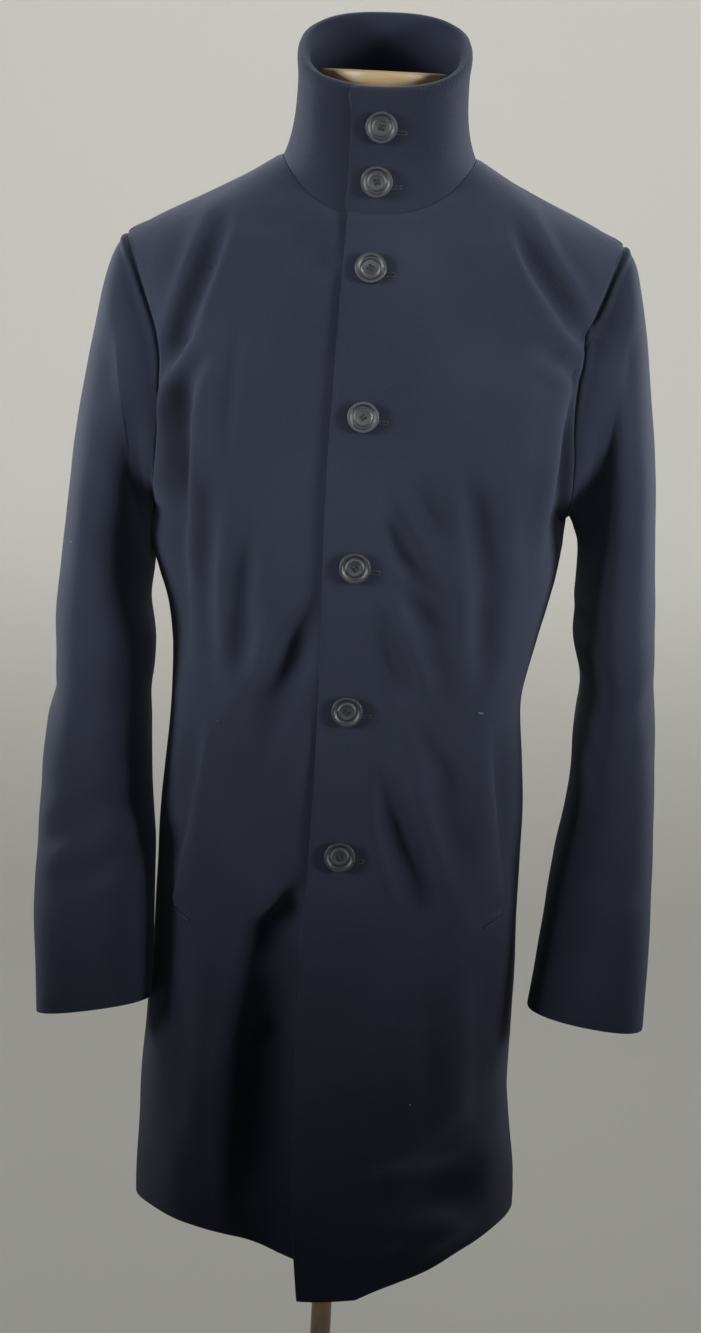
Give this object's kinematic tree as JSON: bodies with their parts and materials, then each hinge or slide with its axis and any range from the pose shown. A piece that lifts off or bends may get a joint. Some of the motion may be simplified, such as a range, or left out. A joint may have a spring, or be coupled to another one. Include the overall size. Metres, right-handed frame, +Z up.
{
  "type": "overcoat on a dress form",
  "caption": "Dark stand-collar overcoat, buttoned to the neck, with set-in sleeves and slanted welt pockets, hanging on a limbless dress form with a pole and a round base.",
  "frame": {"origin": "on the floor, at the middle of the base's underside, under the pole", "axes": "+Z up along the pole, the coat's front faces -Y, the wearer's left is +X"},
  "size_m": [0.5268, 0.3272, 1.5615],
  "materials": {
    "coat_cloth": "dark navy cotton twill, faint sheen",
    "button_horn": "dark polished horn look",
    "form_cover": "plain linen cover",
    "pale_wood": "pale turned wood, satin",
    "bronzed_steel": "dark bronzed steel"
  },
  "bodies": {
    "root": {"back": "coat_cloth", "front_left": "coat_cloth", "front_right": "coat_cloth", "sleeve_left": "coat_cloth", "sleeve_right": "coat_cloth", "collar": "coat_cloth", "pocket_welt_left": "coat_cloth", "pocket_welt_right": "coat_cloth", "button_1": "button_horn", "button_2": "button_horn", "button_3": "button_horn", "button_4": "button_horn", "button_5": "button_horn", "button_6": "button_horn", "button_7": "button_horn", "form_torso": "form_cover", "form_neck_cap": "pale_wood", "form_pole": "bronzed_steel", "form_base": "bronzed_steel"}
  },
  "joints": []
}
